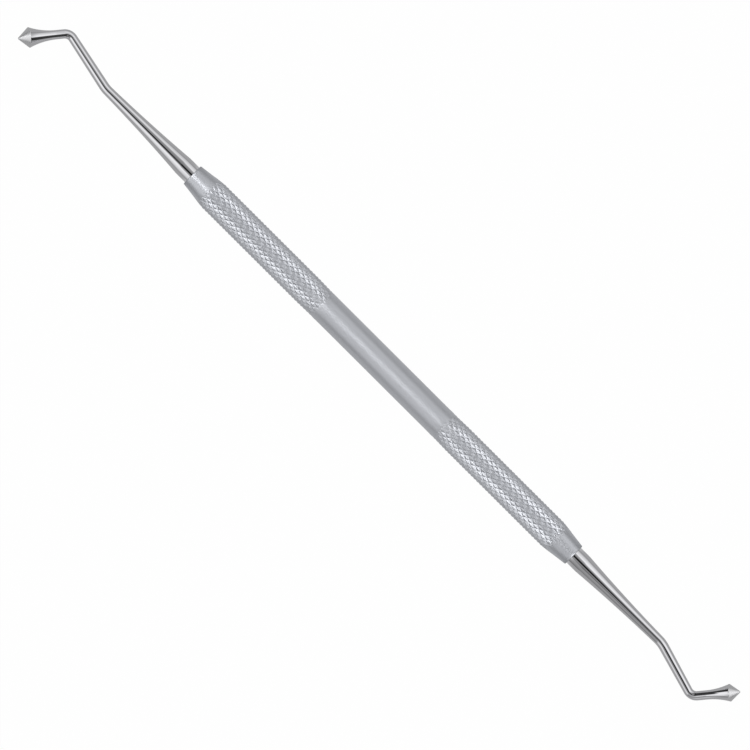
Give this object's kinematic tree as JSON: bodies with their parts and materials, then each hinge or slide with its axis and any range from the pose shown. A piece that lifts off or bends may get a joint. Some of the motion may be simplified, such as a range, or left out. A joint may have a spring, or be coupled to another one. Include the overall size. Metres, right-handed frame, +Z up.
{
  "type": "dental burnisher",
  "caption": "Double-ended dental burnisher: knurled round handle with a bent, tapered, mirror-polished shank and pointed cone head pressed into each end.",
  "frame": {"origin": "the middle of the handle's length, on the handle's axis", "axes": "+X along the handle's axis towards the small cone, +Z up from the table that the burnisher lies on"},
  "size_m": [0.1763, 0.0086, 0.006],
  "materials": {
    "handle": "satin matt, diamond knurled on two bands",
    "tips": "mirror polished stainless steel"
  },
  "bodies": {
    "root": {"handle": "handle", "large_cone_tip": "tips", "small_cone_tip": "tips"}
  },
  "joints": []
}
